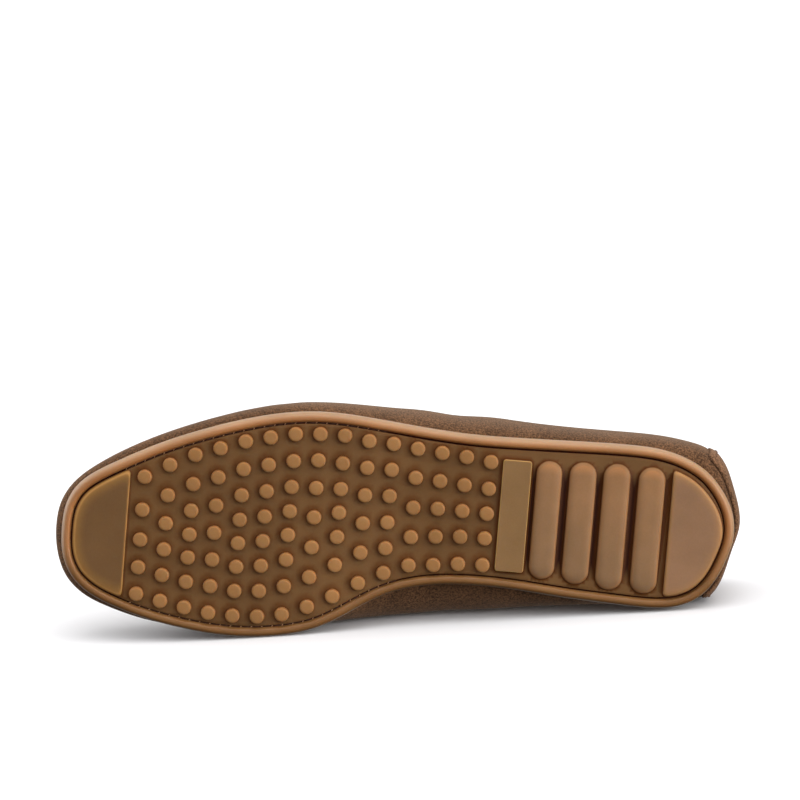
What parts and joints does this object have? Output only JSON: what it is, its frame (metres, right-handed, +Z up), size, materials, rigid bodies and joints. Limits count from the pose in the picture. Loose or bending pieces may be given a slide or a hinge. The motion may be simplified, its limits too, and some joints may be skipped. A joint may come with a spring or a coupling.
{
  "type": "loafer",
  "caption": "Slip-on suede driving loafer for the left foot with a hollow upper, heel counter and studded gum-rubber sole, lying on its inner side.",
  "frame": {"origin": "centre of the bounding box on the floor that the shoe lies on", "axes": "+X from the toe to the heel, +Y from the sole to the collar, +Z up from the floor to the outer side of the shoe"},
  "size_m": [0.293, 0.0762, 0.0955],
  "materials": {
    "gum_rubber": "satin moulded gum rubber",
    "suede": "napped brown suede",
    "counter_suede": "napped brown suede",
    "sock": "smooth tan leather"
  },
  "bodies": {
    "root": {"outsole": "gum_rubber", "upper": "suede", "heel_counter": "counter_suede", "insole": "sock"}
  },
  "joints": []
}
